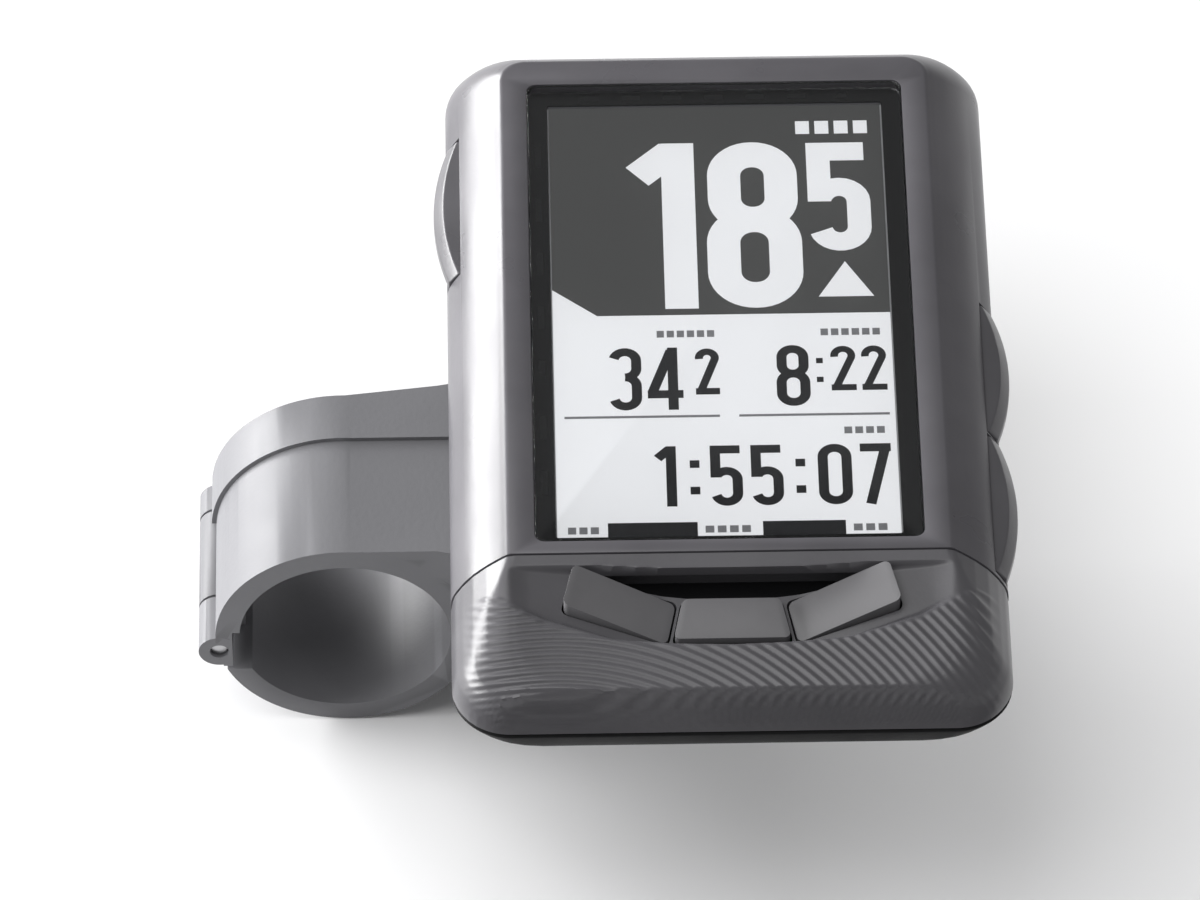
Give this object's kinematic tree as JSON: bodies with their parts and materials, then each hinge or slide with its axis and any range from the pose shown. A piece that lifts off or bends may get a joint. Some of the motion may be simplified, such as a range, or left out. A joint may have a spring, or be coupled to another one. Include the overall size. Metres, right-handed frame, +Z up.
{
  "type": "cycling computer",
  "caption": "Handlebar cycling computer with a portrait screen, sloped button chin and side keys, on a quarter-turn arm with a hinged tube clamp.",
  "frame": {"origin": "centre of the clamp's tube bore", "axes": "+Y forward along the tube, +Z up and square to the screen, +X from the tube towards the computer"},
  "size_m": [0.0856, 0.0906, 0.0478],
  "materials": {
    "case_plastic": "satin moulded plastic",
    "chin_plastic": "fine ribbed grip texture with a smooth thumb dish",
    "rear_plastic": "fine spark-eroded grain",
    "button_rubber": "soft satin keycap",
    "window_glass": "clear hard-coated cover window with a black printed edge",
    "lcd_glass": "reflective liquid-crystal cell",
    "screw_steel": "plain stainless steel",
    "circuit_board": "solder-masked glass-fibre board",
    "battery_foil": "laminated foil pouch",
    "antenna_ceramic": "unglazed dielectric ceramic",
    "seal_silicone": "matt silicone",
    "mount_plastic": "glass-filled nylon with a fine grain",
    "insert_plastic": "slippery acetal"
  },
  "bodies": {
    "bar_mount": {"mount_arm": "mount_plastic", "lock_insert": "insert_plastic", "insert_screw_left": "screw_steel", "insert_screw_right": "screw_steel", "hinge_pin": "screw_steel", "clamp_screw": "screw_steel"},
    "clamp_lower": {"clamp_jaw": "mount_plastic", "clamp_nut": "screw_steel"},
    "head_unit": {"front_case": "case_plastic", "chin_cover": "chin_plastic", "rear_case": "rear_plastic", "window_lens": "window_glass", "lcd_panel": "lcd_glass", "lcd_bracket": "screw_steel", "shield_can": "screw_steel", "altimeter_sensor": "screw_steel", "usb_socket": "screw_steel", "tab_screw_left": "screw_steel", "tab_screw_right": "screw_steel", "case_screw_left_top": "screw_steel", "case_screw_right_top": "screw_steel", "case_screw_left_bottom": "screw_steel", "case_screw_right_bottom": "screw_steel", "main_pcb": "circuit_board", "led_board_left": "circuit_board", "led_board_top": "circuit_board", "battery": "battery_foil", "gnss_antenna": "antenna_ceramic", "perimeter_seal": "seal_silicone", "mount_tab": "insert_plastic", "buzzer": "insert_plastic", "switch_centre": "insert_plastic", "switch_left": "insert_plastic", "switch_right": "insert_plastic", "switch_up": "insert_plastic", "switch_down": "insert_plastic", "switch_power": "insert_plastic"},
    "button_left": {"button_left": "button_rubber"},
    "button_centre": {"button_centre": "button_rubber"},
    "button_right": {"button_right": "button_rubber"},
    "button_up": {"button_up": "button_rubber"},
    "button_down": {"button_down": "button_rubber"},
    "button_power": {"button_power": "button_rubber"},
    "usb_flap": {"usb_flap": "seal_silicone"}
  },
  "joints": [
    {"name": "head_unit_twist", "type": "hinge", "parent": "bar_mount", "child": "head_unit", "pos_m": [0.04, -0.001, 0.017], "axis": [0, 0, 1], "range_deg": [0, 90]},
    {"name": "clamp_hinge", "type": "hinge", "parent": "bar_mount", "child": "clamp_lower", "pos_m": [-0.0134, 0, -0.0022], "axis": [0, 1, 0], "range_deg": [0, 70]},
    {"name": "usb_flap_hinge", "type": "hinge", "parent": "head_unit", "child": "usb_flap", "pos_m": [0.04, -0.0355, 0.0168], "axis": [-1, 0, 0], "range_deg": [0, 100], "stiffness_Nm_per_rad": 0.002, "springref_deg": -5.73},
    {"name": "button_left_press", "type": "slide", "parent": "head_unit", "child": "button_left", "axis": [0, 0, -1], "range_m": [0, 0.0008], "stiffness_N_per_m": 400, "springref_m": -0.0006},
    {"name": "button_centre_press", "type": "slide", "parent": "head_unit", "child": "button_centre", "axis": [0, 0, -1], "range_m": [0, 0.0008], "stiffness_N_per_m": 400, "springref_m": -0.0006},
    {"name": "button_right_press", "type": "slide", "parent": "head_unit", "child": "button_right", "axis": [0, 0, -1], "range_m": [0, 0.0008], "stiffness_N_per_m": 400, "springref_m": -0.0006},
    {"name": "button_up_press", "type": "slide", "parent": "head_unit", "child": "button_up", "axis": [-1, 0, 0], "range_m": [0, 0.0008], "stiffness_N_per_m": 400, "springref_m": -0.0006},
    {"name": "button_down_press", "type": "slide", "parent": "head_unit", "child": "button_down", "axis": [-1, 0, 0], "range_m": [0, 0.0008], "stiffness_N_per_m": 400, "springref_m": -0.0006},
    {"name": "button_power_press", "type": "slide", "parent": "head_unit", "child": "button_power", "axis": [1, 0, 0], "range_m": [0, 0.0008], "stiffness_N_per_m": 400, "springref_m": -0.0006}
  ]
}
